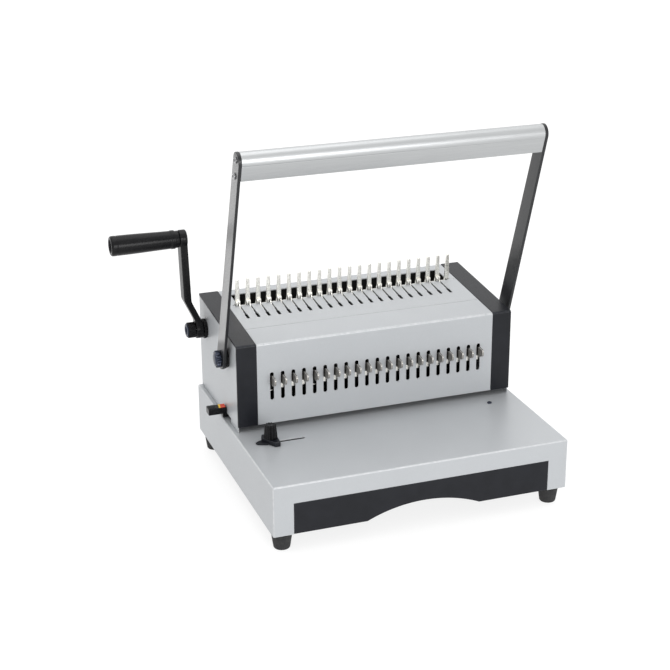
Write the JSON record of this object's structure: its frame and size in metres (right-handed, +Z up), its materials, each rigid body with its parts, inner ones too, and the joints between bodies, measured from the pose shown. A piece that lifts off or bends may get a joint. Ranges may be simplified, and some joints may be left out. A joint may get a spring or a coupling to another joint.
{
  "type": "comb binding machine",
  "caption": "Manual desktop paper punch and comb binder with a U-shaped punching handle, a crank-driven comb opener and a chip drawer.",
  "frame": {"origin": "middle of the whole object in plan, crank included, on the surface it stands on", "axes": "+X to the right, +Y to the back, +Z up; the front with the chip drawer faces -Y"},
  "size_m": [0.517, 0.336, 0.4714],
  "materials": {
    "silver_paint": "fine satin powder coat",
    "charcoal_plastic": "satin moulded plastic with a fine grain",
    "gloss_black_plastic": "glossy moulded plastic",
    "satin_aluminium": "brushed and anodised",
    "black_painted_steel": "semi-gloss black paint",
    "machined_steel": "ground",
    "nickel_plate": "bright nickel plating",
    "rubber": "matt"
  },
  "bodies": {
    "root": {"base_pan": "silver_paint", "front_panel": "silver_paint", "top_plate": "silver_paint", "side_panel_left": "silver_paint", "side_panel_right": "silver_paint", "rear_panel": "silver_paint", "end_cap_left": "charcoal_plastic", "end_cap_right": "charcoal_plastic", "bearing_left": "black_painted_steel", "bearing_right": "black_painted_steel", "base_floor": "black_painted_steel", "die_block": "machined_steel", "punch_guide": "machined_steel", "return_spring_left": "machined_steel", "return_spring_right": "machined_steel", "comb_tines": "nickel_plate", "foot_front_left": "rubber", "foot_front_right": "rubber", "foot_rear_left": "rubber", "foot_rear_right": "rubber"},
    "chip_drawer": {"chip_drawer": "charcoal_plastic"},
    "handle": {"drive_shaft": "machined_steel", "cam_left": "machined_steel", "cam_right": "machined_steel", "handle_arm_left": "black_painted_steel", "handle_arm_right": "black_painted_steel", "handle_bar": "satin_aluminium", "hub_nut_left": "black_painted_steel", "hub_nut_right": "black_painted_steel"},
    "ram": {"punch_ram": "machined_steel"},
    "crank": {"crank_shaft": "machined_steel", "crank_pinion": "machined_steel", "crank_arm": "gloss_black_plastic", "crank_nut": "black_painted_steel"},
    "crank_grip": {"crank_grip": "gloss_black_plastic"},
    "hooks": {"hook_slider": "nickel_plate"},
    "margin_stop": {"margin_lever": "gloss_black_plastic"},
    "edge_guide": {"guide_block": "charcoal_plastic"},
    "guide_knob": {"guide_knob": "charcoal_plastic"},
    "tab_01": {"release_tab_01": "nickel_plate"},
    "tab_02": {"release_tab_02": "nickel_plate"},
    "tab_03": {"release_tab_03": "nickel_plate"},
    "tab_04": {"release_tab_04": "nickel_plate"},
    "tab_05": {"release_tab_05": "nickel_plate"},
    "tab_06": {"release_tab_06": "nickel_plate"},
    "tab_07": {"release_tab_07": "nickel_plate"},
    "tab_08": {"release_tab_08": "nickel_plate"},
    "tab_09": {"release_tab_09": "nickel_plate"},
    "tab_10": {"release_tab_10": "nickel_plate"},
    "tab_11": {"release_tab_11": "nickel_plate"},
    "tab_12": {"release_tab_12": "nickel_plate"},
    "tab_13": {"release_tab_13": "nickel_plate"},
    "tab_14": {"release_tab_14": "nickel_plate"},
    "tab_15": {"release_tab_15": "nickel_plate"},
    "tab_16": {"release_tab_16": "nickel_plate"},
    "tab_17": {"release_tab_17": "nickel_plate"},
    "tab_18": {"release_tab_18": "nickel_plate"},
    "tab_19": {"release_tab_19": "nickel_plate"},
    "tab_20": {"release_tab_20": "nickel_plate"},
    "tab_21": {"release_tab_21": "nickel_plate"}
  },
  "joints": [
    {"name": "drawer_slide", "type": "slide", "parent": "root", "child": "chip_drawer", "axis": [0, -1, 0], "range_m": [0, 0.19]},
    {"name": "handle_swing", "type": "hinge", "parent": "root", "child": "handle", "pos_m": [0.0525, 0.0374, 0.1775], "axis": [1, 0, 0], "range_deg": [0, 65], "stiffness_Nm_per_rad": 3, "springref_deg": -51.57},
    {"name": "ram_stroke", "type": "slide", "parent": "root", "child": "ram", "axis": [0, 0, -1], "range_m": [0, 0.0142], "deforming": ["return_spring_left", "return_spring_right"]},
    {"name": "crank_turn", "type": "hinge", "parent": "root", "child": "crank", "pos_m": [0.0525, 0.1375, 0.1821], "axis": [1, 0, 0], "range_deg": [0, 100]},
    {"name": "grip_spin", "type": "hinge", "parent": "crank", "child": "crank_grip", "pos_m": [-0.2125, 0.1375, 0.3098], "axis": [1, 0, 0], "continuous": true},
    {"name": "hook_slide", "type": "slide", "parent": "root", "child": "hooks", "axis": [0, -0.9973, -0.0736], "range_m": [0, 0.0251]},
    {"name": "margin_slide", "type": "slide", "parent": "root", "child": "margin_stop", "axis": [0, 1, 0], "range_m": [-0.014, 0.006]},
    {"name": "guide_slide", "type": "slide", "parent": "root", "child": "edge_guide", "axis": [1, 0, 0], "range_m": [-0.004, 0.035]},
    {"name": "guide_knob_turn", "type": "hinge", "parent": "edge_guide", "child": "guide_knob", "pos_m": [-0.1058, -0.0458, 0.106], "axis": [0, 0, 1], "range_deg": [0, 270]},
    {"name": "tab_01_pull", "type": "slide", "parent": "ram", "child": "tab_01", "axis": [0, -1, 0], "range_m": [0, 0.006]},
    {"name": "tab_02_pull", "type": "slide", "parent": "ram", "child": "tab_02", "axis": [0, -1, 0], "range_m": [0, 0.006]},
    {"name": "tab_03_pull", "type": "slide", "parent": "ram", "child": "tab_03", "axis": [0, -1, 0], "range_m": [0, 0.006]},
    {"name": "tab_04_pull", "type": "slide", "parent": "ram", "child": "tab_04", "axis": [0, -1, 0], "range_m": [0, 0.006]},
    {"name": "tab_05_pull", "type": "slide", "parent": "ram", "child": "tab_05", "axis": [0, -1, 0], "range_m": [0, 0.006]},
    {"name": "tab_06_pull", "type": "slide", "parent": "ram", "child": "tab_06", "axis": [0, -1, 0], "range_m": [0, 0.006]},
    {"name": "tab_07_pull", "type": "slide", "parent": "ram", "child": "tab_07", "axis": [0, -1, 0], "range_m": [0, 0.006]},
    {"name": "tab_08_pull", "type": "slide", "parent": "ram", "child": "tab_08", "axis": [0, -1, 0], "range_m": [0, 0.006]},
    {"name": "tab_09_pull", "type": "slide", "parent": "ram", "child": "tab_09", "axis": [0, -1, 0], "range_m": [0, 0.006]},
    {"name": "tab_10_pull", "type": "slide", "parent": "ram", "child": "tab_10", "axis": [0, -1, 0], "range_m": [0, 0.006]},
    {"name": "tab_11_pull", "type": "slide", "parent": "ram", "child": "tab_11", "axis": [0, -1, 0], "range_m": [0, 0.006]},
    {"name": "tab_12_pull", "type": "slide", "parent": "ram", "child": "tab_12", "axis": [0, -1, 0], "range_m": [0, 0.006]},
    {"name": "tab_13_pull", "type": "slide", "parent": "ram", "child": "tab_13", "axis": [0, -1, 0], "range_m": [0, 0.006]},
    {"name": "tab_14_pull", "type": "slide", "parent": "ram", "child": "tab_14", "axis": [0, -1, 0], "range_m": [0, 0.006]},
    {"name": "tab_15_pull", "type": "slide", "parent": "ram", "child": "tab_15", "axis": [0, -1, 0], "range_m": [0, 0.006]},
    {"name": "tab_16_pull", "type": "slide", "parent": "ram", "child": "tab_16", "axis": [0, -1, 0], "range_m": [0, 0.006]},
    {"name": "tab_17_pull", "type": "slide", "parent": "ram", "child": "tab_17", "axis": [0, -1, 0], "range_m": [0, 0.006]},
    {"name": "tab_18_pull", "type": "slide", "parent": "ram", "child": "tab_18", "axis": [0, -1, 0], "range_m": [0, 0.006]},
    {"name": "tab_19_pull", "type": "slide", "parent": "ram", "child": "tab_19", "axis": [0, -1, 0], "range_m": [0, 0.006]},
    {"name": "tab_20_pull", "type": "slide", "parent": "ram", "child": "tab_20", "axis": [0, -1, 0], "range_m": [0, 0.006]},
    {"name": "tab_21_pull", "type": "slide", "parent": "ram", "child": "tab_21", "axis": [0, -1, 0], "range_m": [0, 0.006]}
  ],
  "couplings": [
    {"joint": "ram_stroke", "follows": "handle_swing", "m_per_rad": 0.012341},
    {"joint": "hook_slide", "follows": "crank_turn", "m_per_rad": 0.0143}
  ]
}
